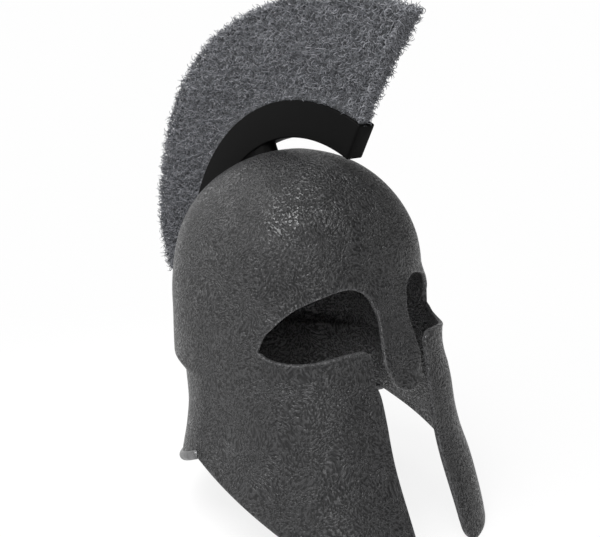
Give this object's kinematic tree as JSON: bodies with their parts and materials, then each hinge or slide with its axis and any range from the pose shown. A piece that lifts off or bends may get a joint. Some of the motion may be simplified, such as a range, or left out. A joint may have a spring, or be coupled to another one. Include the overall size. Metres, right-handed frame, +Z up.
{
  "type": "roman helmet",
  "caption": "Closed-face ancient helmet with eye openings, nose guard, long cheek plates and a raised fore-and-aft crest with a short curly plume.",
  "frame": {"origin": "middle of the bowl at the hat line, its widest level, on the mid plane", "axes": "+Z up through the crown, -Y out of the face, -X the wearer's right"},
  "size_m": [0.2154, 0.3426, 0.3985],
  "materials": {
    "shell": "dark, hammered rough-cast surface",
    "roll": "smooth worn rolled edge",
    "box": "plain black lacquer, crisp edges",
    "post": "plain black",
    "steel": "zinc-bright fasteners",
    "backing": "dark strip",
    "plume": "short dense grey curls",
    "band": "brown leather",
    "pad": "felt"
  },
  "bodies": {
    "root": {"bowl": "shell", "neck_roll": "roll", "crest_box": "box", "crest_post": "post", "front_bolt": "steel", "front_washer": "steel", "rear_bolt": "steel", "rear_washer": "steel", "plume_backing": "backing", "backing_pins": "steel", "plume": "plume", "brow_band": "band", "crown_pad": "pad"}
  },
  "joints": []
}
